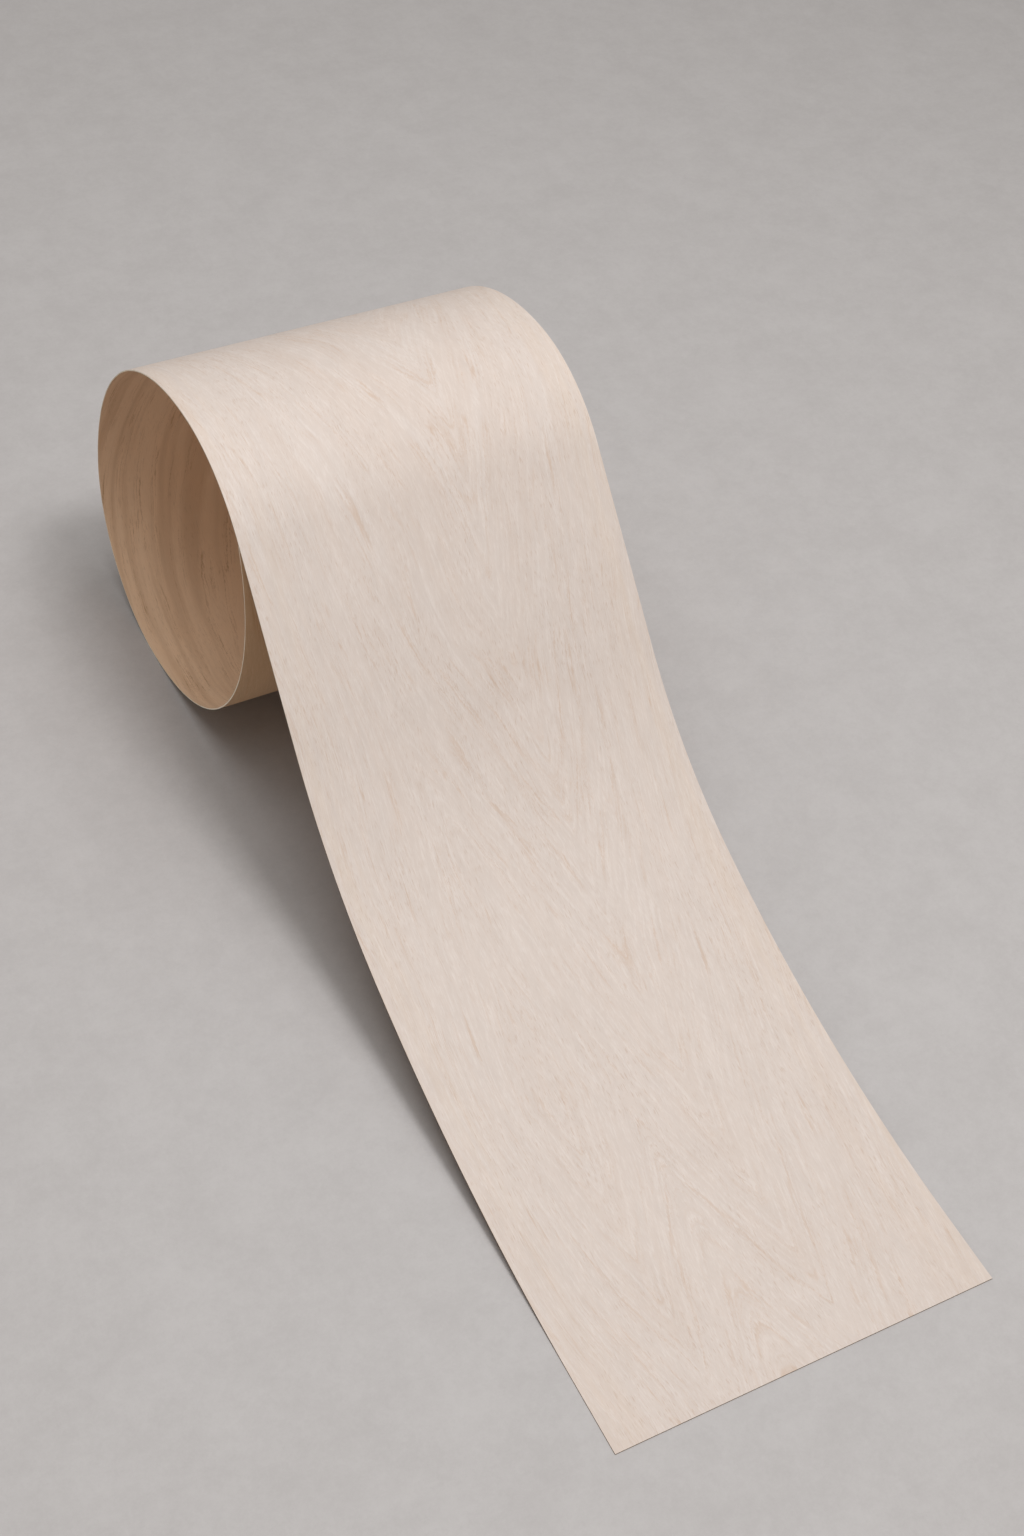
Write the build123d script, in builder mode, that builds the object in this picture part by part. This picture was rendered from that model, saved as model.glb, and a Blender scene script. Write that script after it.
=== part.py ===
# Wood veneer sheet: one leaf of sliced veneer, curled up at one end.
#
# The sheet is a single thin rectangle, as wide as the roll is long. Seen from
# the side, it starts with a short tail flat on the floor, lifts off in a long
# gentle sweep, climbs a straight slope, passes over the crown of the roll,
# down its back and under its bottom, and comes up inside the front, where the
# inner end leans on the underside of the slope.
#
# Frame: X runs across the sheet, Y from the free end to the roll, Z up.
# The origin is on the floor, in the middle of the sheet's footprint.

import os
from math import atan2, cos, degrees, radians, sin

from build123d import *

# Driving sizes, in millimetres and degrees
sheet_width = 200
sheet_thickness = 0.6

# The tail: flat on the floor, then two sweeps that turn it up into the slope
flat_length = 37
lift_radius = 570
lift_turn = 21
foot_radius = 265
slope_angle = 46

# The roll: radii of the show face over the crown and down the back
crown_radius = 89
back_upper_radius = 129
back_lower_radius = 77
quarter_turn = 90

# The inner end: how far below the crown it touches, and the gap left there
inner_end_drop = 2
inner_end_clearance = 0.3

# The show face is the upper one on the tail and the outer one on the roll. It
# is one thickness above the floor at the tail and on the floor under the roll,
# and the slope is as long as it takes for both to stand on the same floor.
roll_height = back_upper_radius + back_lower_radius
lift_rise = lift_radius * (1 - cos(radians(lift_turn)))
foot_rise = foot_radius * (cos(radians(lift_turn)) - cos(radians(slope_angle)))
crown_rise = crown_radius * (1 - cos(radians(slope_angle)))
slope_rise = roll_height - sheet_thickness - lift_rise - foot_rise - crown_rise
slope_length = slope_rise / sin(radians(slope_angle))

# The footprint runs from the free end to the back of the roll
lift_run = lift_radius * sin(radians(lift_turn))
foot_run = foot_radius * (sin(radians(slope_angle)) - sin(radians(lift_turn)))
slope_run = slope_length * cos(radians(slope_angle))
crown_run = crown_radius * sin(radians(slope_angle))
footprint_length = flat_length + lift_run + foot_run + slope_run + crown_run + back_upper_radius
free_end_y = -footprint_length / 2

# The front wall is one arc: level at the floor, and long enough to bring the
# inner end up to the underside of the slope, just below the crown
inner_end_depth = sheet_thickness + inner_end_clearance
inner_end_back = inner_end_drop * cos(radians(slope_angle)) - inner_end_depth * sin(radians(slope_angle))
inner_end_down = inner_end_drop * sin(radians(slope_angle)) + inner_end_depth * cos(radians(slope_angle))
front_rise = roll_height - crown_rise - inner_end_down
front_run = crown_run + back_upper_radius - back_lower_radius + inner_end_back
front_radius = (front_run**2 + front_rise**2) / (2 * front_rise)
front_turn = 2 * degrees(atan2(front_rise, front_run))

with BuildPart() as veneer_sheet:
    with BuildSketch(Plane.YZ) as section:
        with BuildLine() as outline:
            free_end = []
            inner_end = []
            developed_length = 0

            # The show face, then the back face one thickness below it
            for depth in (0, sheet_thickness):
                tail = PolarLine((free_end_y, sheet_thickness - depth), flat_length, 0)
                lift = JernArc(tail @ 1, tail % 1, lift_radius + depth, lift_turn)
                foot = JernArc(lift @ 1, lift % 1, foot_radius + depth, slope_angle - lift_turn)
                slope = PolarLine(foot @ 1, slope_length, slope_angle)
                crown = JernArc(slope @ 1, slope % 1, crown_radius - depth, -slope_angle)
                back_upper = JernArc(crown @ 1, crown % 1, back_upper_radius - depth, -quarter_turn)
                back_lower = JernArc(
                    back_upper @ 1, back_upper % 1, back_lower_radius - depth, -quarter_turn
                )
                front = JernArc(back_lower @ 1, back_lower % 1, front_radius - depth, -front_turn)
                free_end.append(tail @ 0)
                inner_end.append(front @ 1)
                stretches = (tail, lift, foot, slope, crown, back_upper, back_lower, front)
                developed_length += sum(stretch.length for stretch in stretches) / 2

            # The cut edges at both ends close the section
            Line(free_end[0], free_end[1])
            Line(inner_end[0], inner_end[1])
        make_face()
    extrude(amount=sheet_width / 2, both=True)

veneer_sheet.part.label = "veneer_sheet"

os.makedirs("parts", exist_ok=True)
export_step(veneer_sheet.part, "parts/veneer_sheet.step")

print(f"sheet laid flat: {developed_length:.1f} x {sheet_width} x {sheet_thickness} mm")
print(f"footprint {footprint_length:.1f} mm, roll {roll_height} mm high, slope {slope_length:.1f} mm")
print(f"front wall: radius {front_radius:.1f} mm, turning {front_turn:.1f} degrees")
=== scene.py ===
import math

import bmesh
import bpy
from mathutils import Matrix, Vector


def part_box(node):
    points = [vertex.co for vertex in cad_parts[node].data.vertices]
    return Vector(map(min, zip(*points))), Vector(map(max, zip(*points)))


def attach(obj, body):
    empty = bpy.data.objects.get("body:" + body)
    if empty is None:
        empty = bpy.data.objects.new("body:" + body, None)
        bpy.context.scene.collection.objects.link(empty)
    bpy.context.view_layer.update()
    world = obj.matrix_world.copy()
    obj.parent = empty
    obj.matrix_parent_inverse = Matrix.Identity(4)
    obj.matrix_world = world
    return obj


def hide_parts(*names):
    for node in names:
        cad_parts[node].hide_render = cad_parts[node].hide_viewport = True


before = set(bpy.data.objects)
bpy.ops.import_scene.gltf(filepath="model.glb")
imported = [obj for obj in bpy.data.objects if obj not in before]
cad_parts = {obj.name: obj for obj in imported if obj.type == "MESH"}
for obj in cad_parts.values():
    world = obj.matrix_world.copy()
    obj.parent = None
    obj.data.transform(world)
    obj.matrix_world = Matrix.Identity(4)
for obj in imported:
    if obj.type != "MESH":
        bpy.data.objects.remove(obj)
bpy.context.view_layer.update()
print("frame loaded")


# The leaf, in metres and degrees: its side view is a chain of straight and round stretches
leaf = {
    "thickness": 0.0006,
    "flatLength": 0.037,
    "liftRadius": 0.570,
    "liftTurn": 21,
    "footRadius": 0.265,
    "slopeAngle": 46,
    "crownRadius": 0.089,
    "backUpperRadius": 0.129,
    "innerEndDrop": 0.002,  # how far below the crown the inner end leans on the slope
    "innerEndGap": 0.0003,
    "columns": 40,
    "stepLength": 0.004,
    "uvSpan": 1.2,  # the UV square covers this many metres of veneer each way
}
showFace, backFace, cutEdge = 0, 1, 2  # the leaf's material slots


def leafStretches(rollHeight):
    # the length and turn of each stretch of the show face, from the free end to the inner end
    lift, slope = math.radians(leaf["liftTurn"]), math.radians(leaf["slopeAngle"])
    backLowerRadius = rollHeight - leaf["backUpperRadius"]
    liftRise = leaf["liftRadius"] * (1 - math.cos(lift))
    footRise = leaf["footRadius"] * (math.cos(lift) - math.cos(slope))
    crownRise = leaf["crownRadius"] * (1 - math.cos(slope))
    slopeRise = rollHeight - leaf["thickness"] - liftRise - footRise - crownRise
    endDepth = leaf["thickness"] + leaf["innerEndGap"]
    endBack = leaf["innerEndDrop"] * math.cos(slope) - endDepth * math.sin(slope)
    endDown = leaf["innerEndDrop"] * math.sin(slope) + endDepth * math.cos(slope)
    frontRise = rollHeight - crownRise - endDown
    frontRun = leaf["crownRadius"] * math.sin(slope) + leaf["backUpperRadius"] - backLowerRadius + endBack
    frontRadius = (frontRun**2 + frontRise**2) / (2 * frontRise)
    frontTurn = 2 * math.atan2(frontRise, frontRun)
    quarter = math.pi / 2
    return [
        (leaf["flatLength"], 0),
        (leaf["liftRadius"] * lift, lift),
        (leaf["footRadius"] * (slope - lift), slope - lift),
        (slopeRise / math.sin(slope), 0),
        (leaf["crownRadius"] * slope, -slope),
        (leaf["backUpperRadius"] * quarter, -quarter),
        (backLowerRadius * quarter, -quarter),
        (frontRadius * frontTurn, -frontTurn),
    ]


def cutStrip(bm, low, high):
    # the cut across the free end, where the leaf starts: as wide as the leaf, as tall as it's thick
    bmesh.ops.create_grid(bm, x_segments=leaf["columns"], y_segments=1, size=0.5)
    stand = Matrix.Translation((0, low.y, leaf["thickness"] / 2)) @ Matrix.Rotation(math.pi / 2, 4, "X")
    size = Matrix.Diagonal((high.x - low.x, leaf["thickness"], 1, 1))
    bmesh.ops.transform(bm, matrix=stand @ size, verts=bm.verts)
    # given its edges too, the extruding below leaves no faces behind inside the leaf
    return bm.verts[:] + bm.edges[:] + bm.faces[:]


def drawAlong(bm, cap, low, stretches, alongLayer):
    # pulls the cut strip along the side view, a short step at a time
    here = Vector((0, low.y, leaf["thickness"]))  # a point of the show face that goes with the strip
    heading, along = 0, 0
    for length, turn in stretches:
        steps = math.ceil(length / leaf["stepLength"])
        ahead = Vector((0, math.cos(heading), math.sin(heading)))
        outwards = Vector((0, -math.sin(heading), math.cos(heading)))
        pivot = here + outwards * (length / turn) if turn else None
        for step in range(steps):
            cap = bmesh.ops.extrude_face_region(bm, geom=cap)["geom"]
            verts = [item for item in cap if isinstance(item, bmesh.types.BMVert)]
            if turn:
                bmesh.ops.rotate(bm, verts=verts, cent=pivot, matrix=Matrix.Rotation(turn / steps, 3, "X"))
            else:
                bmesh.ops.translate(bm, verts=verts, vec=ahead * (length / steps))
            along += length / steps
            for vert in verts:
                vert[alongLayer] = along
        here = pivot + Matrix.Rotation(turn, 3, "X") @ (here - pivot) if turn else here + ahead * length
        heading += turn
    return along


def makeLeaf():
    low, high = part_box("veneer_sheet")
    bm = bmesh.new()
    uvLayer = bm.loops.layers.uv.new("leaf")
    alongLayer = bm.verts.layers.float.new("along")
    upperLayer = bm.verts.layers.int.new("upper")
    cap = cutStrip(bm, low, high)
    for vert in bm.verts:
        vert[upperLayer] = int(vert.co.z > leaf["thickness"] / 2)
    length = drawAlong(bm, cap, low, leafStretches(high.z - low.z), alongLayer)

    for face in bm.faces:
        uppers = {vert[upperLayer] for vert in face.verts}
        face.material_index = cutEdge if len(uppers) == 2 else showFace if uppers == {1} else backFace
        face.smooth = face.material_index != cutEdge
        for loop in face.loops:
            across = loop.vert.co.x - low.x
            along = loop.vert[alongLayer]
            if face.material_index == cutEdge and not loop.vert[upperLayer]:
                across += math.copysign(leaf["thickness"], loop.vert.co.x)
            loop[uvLayer].uv = (across / leaf["uvSpan"], along / leaf["uvSpan"])
    for edge in bm.edges:
        edge.smooth = len({face.material_index for face in edge.link_faces}) == 1
    bmesh.ops.recalc_face_normals(bm, faces=bm.faces)

    mesh = bpy.data.meshes.new("veneerLeaf")
    bm.to_mesh(mesh)
    bm.free()
    made = bpy.data.objects.new("veneerLeaf", mesh)
    bpy.context.scene.collection.objects.link(made)
    print(f"leaf: {length * 1000:.0f} mm long, {len(mesh.polygons)} faces")
    return made


# The finish. Lengths are in metres, colours are linear, places run across and along the flat leaf.
figure = {
    "spine": 0.124,  # the line down the leaf where the V's of the figure point to the free end
    "sideSpine": 0.055,  # a second one beside it, near the free end
    "sideFade": 0.16,  # from here on along the leaf the second one gives way
    "sideFadeRate": 0.35,
    "spineBlur": 0.0010,
    "archBlur": 0.014,
    "spineDrift": 0.020,
    "armPull": 0.80,  # with the taper, it sets how steep the arms of the V's run
    "straightFrom": 0.064,  # outside this distance from the leaf's middle, the grain runs straighter
    "straightPull": 1.1,
    "taper": 0.22,
    "swell": 0.020,
    "ripple": 0.007,
    "straightBlur": 0.020,
    "wander": 0.0048,
    "feather": 0.0026,  # how far the rings' lines are torn along the fibres
    "lineWidth": 0.027,
    "fineLineWidth": 0.034,
    "fineLineShare": 0.7,
    "warmReach": 0.030,
    "poreDepth": 0.00008,
    "paleGloss": 0.08,  # how much glossier the pale fibres are
}
grain = {  # each noise: waves to the metre across and along the leaf, seed, detail, roughness
    "wander": (14, 9, 50.2, 2, 0.5),
    "drift": (5, 5.5, 3.1, 1, 0.5),
    "swell": (11, 6, 21.3, 1, 0.5),
    "ripple": (34, 15, 38.8, 2, 0.5),
    "ringFibre": (1000, 42, 5.5, 3, 0.6),
    "straightFibre": (1600, 210, 9.2, 3, 0.7),
    "band": (80, 5, 30.4, 2, 0.5),
    "line": (360, 9, 11.6, 1, 0.5),
    "fineLine": (560, 22, 27.3, 1, 0.5),
    "broken": (150, 26, 14.8, 2, 0.5),
    "drifts": (60, 16, 2.6, 1, 0.5),
    "ticks": (1400, 80, 17.9, 1, 0.5),
    "finePores": (1900, 190, 12.1, 1, 0.5),
    "streaks": (160, 5, 41.0, 3, 0.5),
    "mottle": (240, 75, 6.3, 3, 0.5),
    "cloud": (34, 14, 33.3, 2, 0.5),
    "cutFibre": (900, 180, 4.4, 2, 0.5),
}
showLook = {
    "base": (0.655, 0.563, 0.508),
    "ring": (0.545, 0.370, 0.255),
    "fibre": (0.765, 0.690, 0.645),
    "pore": (0.450, 0.290, 0.190),
    "warm": (0.690, 0.545, 0.420),
    "ringShare": 0.43,
    "bandShare": 0.20,  # of a broad band beside a thin line
    "fibreShare": 0.42,
    "poreShare": 0.33,
    "warmShare": 0.25,
    "mottle": 0.115,
    "cloud": 0.05,
    "paintedShade": (1.05, 0.81, 0.54),  # painted shade: the show face is browner towards the inner end, where the front wall lies in shade under the slope
    "paintedShadeFrom": 0.78,
    "paintedShadeTo": 0.92,
    "roughness": 0.66,
    "bump": 0.25,
}
backLook = {
    "base": (0.850, 0.615, 0.425),
    "ring": (0.440, 0.245, 0.125),
    "fibre": (0.920, 0.725, 0.545),
    "pore": (0.330, 0.175, 0.095),
    "warm": (0.850, 0.560, 0.350),
    "ringShare": 0.68,
    "bandShare": 0.42,
    "fibreShare": 0.22,
    "poreShare": 0.22,
    "warmShare": 0.20,
    "mottle": 0.07,
    "cloud": 0.16,
    "paintedShade": (0.63, 0.57, 0.50),  # painted shade: the back face is darker and browner towards the free end, on the slope's shaded underside
    "paintedShadeFrom": 0.80,
    "paintedShadeTo": 0.48,
    "roughness": 0.74,
    "bump": 0.20,
}
edgeLook = {
    "pale": (1.000, 0.920, 0.780),
    "dark": (0.920, 0.800, 0.640),
    "paintedShadow": (0.26, 0.18, 0.125),  # painted shadow: how much darker the free end's cuts are painted, standing in for their shade and contact shadow on the floor
    "paintedShadowTo": 0.28,
    "paintedShadowFrom": 0.42,
    "roughness": 0.75,
}


def addNode(tree, kind, inputs=None, **settings):
    made = tree.nodes.new(kind)
    for name, value in settings.items():
        setattr(made, name, value)
    for name, value in (inputs or {}).items():
        if isinstance(value, bpy.types.NodeSocket):
            tree.links.new(value, made.inputs[name])
        else:
            made.inputs[name].default_value = value
    return made


def calc(tree, operation, *values):
    return addNode(tree, "ShaderNodeMath", dict(enumerate(values)), operation=operation).outputs[0]


def spread(tree, value, lowest, highest, start=0, end=1):
    # eases a value from lowest..highest to start..end
    inputs = {"Value": value, "From Min": lowest, "From Max": highest, "To Min": start, "To Max": end}
    return addNode(tree, "ShaderNodeMapRange", inputs, interpolation_type="SMOOTHSTEP").outputs["Result"]


def grainNoise(tree, across, along, name):
    # noise drawn out along the leaf
    acrossWaves, alongWaves, seed, detail, roughness = grain[name]
    place = addNode(tree, "ShaderNodeCombineXYZ", {
        "X": calc(tree, "MULTIPLY", across, acrossWaves),
        "Y": calc(tree, "MULTIPLY", along, alongWaves),
        "Z": seed,
    })
    inputs = {"Vector": place.outputs[0], "Scale": 1, "Detail": detail, "Roughness": roughness}
    return addNode(tree, "ShaderNodeTexNoise", inputs, noise_dimensions="3D").outputs["Fac"]


def centred(tree, noise):
    return calc(tree, "SUBTRACT", noise, 0.5)


def blendColour(tree, share, under, over, blend="MIX"):
    mixer = addNode(tree, "ShaderNodeMix", data_type="RGBA", blend_type=blend)
    for socket, value in zip((mixer.inputs[0], mixer.inputs[6], mixer.inputs[7]), (share, under, over)):
        if isinstance(value, bpy.types.NodeSocket):
            tree.links.new(value, socket)
        else:
            socket.default_value = value if isinstance(value, (int, float)) else (*value, 1)
    return mixer.outputs[2]


def leafPlace(tree):
    # metres across and along the flat leaf
    uv = addNode(tree, "ShaderNodeUVMap", uv_map="leaf").outputs[0]
    metres = addNode(tree, "ShaderNodeVectorMath", {0: uv}, operation="SCALE")
    metres.inputs["Scale"].default_value = leaf["uvSpan"]
    parts = addNode(tree, "ShaderNodeSeparateXYZ", {0: metres.outputs[0]})
    return parts.outputs["X"], parts.outputs["Y"]


def wandering(tree, across, along):
    # the grain never runs dead straight
    broad = centred(tree, grainNoise(tree, across, along, "wander"))
    return calc(tree, "MULTIPLY_ADD", broad, figure["wander"], across)


def awayFrom(tree, across, line):
    # the distance from a line down the leaf, a little rounded on the line itself
    aside = calc(tree, "SUBTRACT", across, line)
    return calc(tree, "SQRT", calc(tree, "MULTIPLY_ADD", aside, aside, figure["spineBlur"] ** 2))


def ringField(tree, across, along):
    # its contours are the growth rings as the knife cut them: V's on the spines, arches between them
    drift = centred(tree, grainNoise(tree, across, along, "drift"))
    drifted = calc(tree, "MULTIPLY_ADD", drift, figure["spineDrift"], across)
    beyondFade = calc(tree, "MAXIMUM", calc(tree, "SUBTRACT", along, figure["sideFade"]), 0)
    side = awayFrom(tree, drifted, figure["sideSpine"])
    side = calc(tree, "MULTIPLY_ADD", beyondFade, figure["sideFadeRate"], side)
    away = calc(tree, "SMOOTH_MIN", awayFrom(tree, drifted, figure["spine"]), side, figure["archBlur"])

    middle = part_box("veneer_sheet")[1].x
    fromMiddle = calc(tree, "ABSOLUTE", calc(tree, "SUBTRACT", across, middle))
    beyondStraight = calc(tree, "SUBTRACT", fromMiddle, figure["straightFrom"])
    outside = calc(tree, "SMOOTH_MAX", beyondStraight, 0, figure["straightBlur"])
    swell = centred(tree, grainNoise(tree, across, along, "swell"))
    ripple = centred(tree, grainNoise(tree, across, along, "ripple"))
    field = calc(tree, "MULTIPLY", along, figure["taper"])
    field = calc(tree, "MULTIPLY_ADD", swell, figure["swell"], field)
    field = calc(tree, "MULTIPLY_ADD", ripple, figure["ripple"], field)
    field = calc(tree, "MULTIPLY_ADD", away, -figure["armPull"], field)
    return calc(tree, "MULTIPLY_ADD", outside, -figure["straightPull"], field)


def thinLine(tree, waves, width):
    # a line where the waves cross their middle
    return spread(tree, calc(tree, "ABSOLUTE", centred(tree, waves)), width, 0)


def veneerMaterial(name, look):
    material = bpy.data.materials.new(name)
    material.use_nodes = True
    tree = material.node_tree
    shader = tree.nodes["Principled BSDF"]
    flatAcross, along = leafPlace(tree)
    across = wandering(tree, flatAcross, along)
    field = ringField(tree, across, along)

    # the fibres: long ones that follow the rings, and short straight ones
    ringFibre = grainNoise(tree, field, along, "ringFibre")
    straightFibre = grainNoise(tree, across, along, "straightFibre")

    # growth rings: broad soft bands, and thin feathered lines that fade in and out along their way
    feathered = calc(tree, "MULTIPLY_ADD", centred(tree, straightFibre), figure["feather"], field)
    band = spread(tree, grainNoise(tree, feathered, along, "band"), 0.46, 0.70)
    line = thinLine(tree, grainNoise(tree, feathered, along, "line"), figure["lineWidth"])
    fineLine = thinLine(tree, grainNoise(tree, feathered, along, "fineLine"), figure["fineLineWidth"])
    broken = spread(tree, grainNoise(tree, field, along, "broken"), 0.40, 0.66)
    lines = calc(tree, "MAXIMUM", line, calc(tree, "MULTIPLY", fineLine, figure["fineLineShare"]))
    lines = calc(tree, "MULTIPLY", lines, broken)
    ring = calc(tree, "MAXIMUM", lines, calc(tree, "MULTIPLY", band, look["bandShare"]))

    # pores and flecks: short dark ticks in drifts, and pale glossy fibres
    drifts = spread(tree, grainNoise(tree, across, along, "drifts"), 0.35, 0.65, 0.25, 1)
    ticks = spread(tree, grainNoise(tree, field, along, "ticks"), 0.66, 0.82)
    finePores = spread(tree, grainNoise(tree, across, along, "finePores"), 0.58, 0.74)
    pore = calc(tree, "MULTIPLY", calc(tree, "MAXIMUM", ticks, finePores), drifts)
    mixed = calc(tree, "MULTIPLY_ADD", ringFibre, 0.5, calc(tree, "MULTIPLY", straightFibre, 0.5))
    pale = spread(tree, mixed, 0.46, 0.64)

    # the long edges are warmer, in streaks
    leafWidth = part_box("veneer_sheet")[1].x * 2
    fromEdge = calc(tree, "MINIMUM", across, calc(tree, "SUBTRACT", leafWidth, across))
    nearEdge = spread(tree, fromEdge, figure["warmReach"], 0)
    streaks = spread(tree, grainNoise(tree, across, along, "streaks"), 0.35, 0.65)
    warm = calc(tree, "MULTIPLY", calc(tree, "MULTIPLY", nearEdge, streaks), look["warmShare"])

    colour = blendColour(tree, warm, look["base"], look["warm"])
    colour = blendColour(tree, calc(tree, "MULTIPLY", pale, look["fibreShare"]), colour, look["fibre"])
    colour = blendColour(tree, calc(tree, "MULTIPLY", ring, look["ringShare"]), colour, look["ring"])
    colour = blendColour(tree, calc(tree, "MULTIPLY", pore, look["poreShare"]), colour, look["pore"])
    mottle = centred(tree, grainNoise(tree, across, along, "mottle"))
    cloud = centred(tree, grainNoise(tree, across, along, "cloud"))
    brightness = calc(tree, "MULTIPLY_ADD", cloud, look["cloud"], 1)
    brightness = calc(tree, "MULTIPLY_ADD", mottle, look["mottle"], brightness)
    grey = addNode(tree, "ShaderNodeCombineXYZ", {"X": brightness, "Y": brightness, "Z": brightness})
    colour = blendColour(tree, 1, colour, grey.outputs[0], blend="MULTIPLY")
    # painted shade: each face turns darker and browner towards one end, where it lies in shade
    paintedShadeShare = spread(tree, along, look["paintedShadeFrom"], look["paintedShadeTo"])
    colour = blendColour(tree, paintedShadeShare, colour, look["paintedShade"], blend="MULTIPLY")
    tree.links.new(colour, shader.inputs["Base Color"])

    # the surface: open pores sink in, fibres stand a little proud
    height = calc(tree, "SUBTRACT", calc(tree, "MULTIPLY", straightFibre, 0.5), pore)
    depth = {"Strength": look["bump"], "Distance": figure["poreDepth"]}
    bump = addNode(tree, "ShaderNodeBump", {"Height": height, **depth})
    tree.links.new(bump.outputs[0], shader.inputs["Normal"])
    rough = calc(tree, "MULTIPLY_ADD", pale, -figure["paleGloss"], look["roughness"])
    tree.links.new(rough, shader.inputs["Roughness"])
    shader.inputs["Specular IOR Level"].default_value = 0.30
    return material


def cutEdgeMaterial(name, look):
    material = bpy.data.materials.new(name)
    material.use_nodes = True
    tree = material.node_tree
    shader = tree.nodes["Principled BSDF"]
    across, along = leafPlace(tree)
    fibre = grainNoise(tree, across, along, "cutFibre")
    colour = blendColour(tree, spread(tree, fibre, 0.35, 0.65), look["dark"], look["pale"])
    # painted shadow: the cuts darken towards the free end, where they meet the floor
    paintedShadow = spread(tree, along, look["paintedShadowFrom"], look["paintedShadowTo"])
    colour = blendColour(tree, paintedShadow, colour, look["paintedShadow"], blend="MULTIPLY")
    tree.links.new(colour, shader.inputs["Base Color"])
    shader.inputs["Roughness"].default_value = look["roughness"]
    shader.inputs["Specular IOR Level"].default_value = 0.25
    return material


veneerLeaf = makeLeaf()
veneerLeaf.data.materials.append(veneerMaterial("paleShowFace", showLook))
veneerLeaf.data.materials.append(veneerMaterial("tanBackFace", backLook))
veneerLeaf.data.materials.append(cutEdgeMaterial("creamCutEdge", edgeLook))
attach(veneerLeaf, "root")
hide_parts("veneer_sheet")
print("leaf finished")


# The floor, a wide sheet of pale grey studio paper
floor = {
    "reach": 8,
    "base": (0.471, 0.445, 0.437),
    "cloud": (0.523, 0.497, 0.489),
    "cloudNoise": {"Scale": 22, "Detail": 7, "Roughness": 0.95},
    "far": (0.880, 0.840, 0.820),  # painted light: the paper is painted paler far out, where the soft boxes don't reach it
    "farFrom": 1.5,
    "farTo": 4.0,
    "roughness": 0.85,
}


def makeFloor():
    bm = bmesh.new()
    bmesh.ops.create_grid(bm, x_segments=1, y_segments=1, size=floor["reach"])
    mesh = bpy.data.meshes.new("studioFloor")
    bm.to_mesh(mesh)
    bm.free()
    made = bpy.data.objects.new("studioFloor", mesh)
    bpy.context.scene.collection.objects.link(made)

    material = bpy.data.materials.new("greyPaper")
    material.use_nodes = True
    tree = material.node_tree
    shader = tree.nodes["Principled BSDF"]
    place = addNode(tree, "ShaderNodeTexCoord").outputs["Object"]
    cloud = addNode(tree, "ShaderNodeTexNoise", {"Vector": place, **floor["cloudNoise"]}).outputs["Fac"]
    colour = blendColour(tree, spread(tree, cloud, 0.3, 0.7), floor["base"], floor["cloud"])
    # painted light: paler with the distance from the middle, standing in for light the soft boxes don't
    # give
    away = addNode(tree, "ShaderNodeVectorMath", {0: place}, operation="LENGTH").outputs["Value"]
    colour = blendColour(tree, spread(tree, away, floor["farFrom"], floor["farTo"]), colour, floor["far"])
    tree.links.new(colour, shader.inputs["Base Color"])
    shader.inputs["Roughness"].default_value = floor["roughness"]
    shader.inputs["Specular IOR Level"].default_value = 0.2
    mesh.materials.append(material)
    return made


studioFloor = makeFloor()
print("floor laid")


# The light: a broad soft box overhead, a small crisper one towards the free end, and the room
lights = {
    "broad": {"place": (0.0, 0.0, 1.90), "size": 1.6, "power": 19.6, "colour": (0.975, 0.99, 1.0)},
    "crisp": {"place": (0.20, -0.50, 1.85), "size": 0.4, "power": 12.2, "colour": (0.985, 0.995, 1.0)},
    "room": {"colour": (1.0, 0.965, 0.91), "strength": 0.30},
}
aim = Vector((0, 0, 0.06))


def addSoftBox(name, settings):
    data = bpy.data.lights.new(name, "AREA")
    data.shape = "SQUARE"
    data.size = settings["size"]
    data.energy = settings["power"]
    data.color = settings["colour"]
    lamp = bpy.data.objects.new(name, data)
    lamp.location = settings["place"]
    lamp.rotation_euler = (aim - lamp.location).to_track_quat("-Z", "Y").to_euler()
    bpy.context.scene.collection.objects.link(lamp)


def lightRoom(settings):
    world = bpy.data.worlds.new("room")
    bpy.context.scene.world = world
    world.use_nodes = True
    background = world.node_tree.nodes["Background"]
    background.inputs["Color"].default_value = (*settings["colour"], 1)
    background.inputs["Strength"].default_value = settings["strength"]


addSoftBox("broadBox", lights["broad"])
addSoftBox("crispBox", lights["crisp"])
lightRoom(lights["room"])
print("lights up")


# The camera stands at the free end's left and looks down along the leaf
camera = {
    "place": (-0.4663, -0.7107, 1.0029),
    "heading": -32.40,
    "tilt": 48.35,  # from straight down
    "roll": 6.75,
    "lens": 58.87,
    "sensor": 36,  # the picture's long side
    "shiftY": -0.16,
}


def makeCamera():
    data = bpy.data.cameras.new("camera")
    data.lens = camera["lens"]
    data.sensor_width = camera["sensor"]
    data.sensor_fit = "AUTO"
    data.shift_y = camera["shiftY"]
    data.dof.use_dof = False
    data.clip_start = 0.01
    made = bpy.data.objects.new("camera", data)
    turned = Matrix.Rotation(math.radians(camera["heading"]), 4, "Z")
    turned = turned @ Matrix.Rotation(math.radians(camera["tilt"]), 4, "X")
    turned = turned @ Matrix.Rotation(math.radians(camera["roll"]), 4, "Z")
    made.matrix_world = Matrix.Translation(camera["place"]) @ turned
    bpy.context.scene.collection.objects.link(made)
    return made


bpy.context.scene.camera = makeCamera()
bpy.context.scene.view_settings.view_transform = "Standard"
print("camera set")
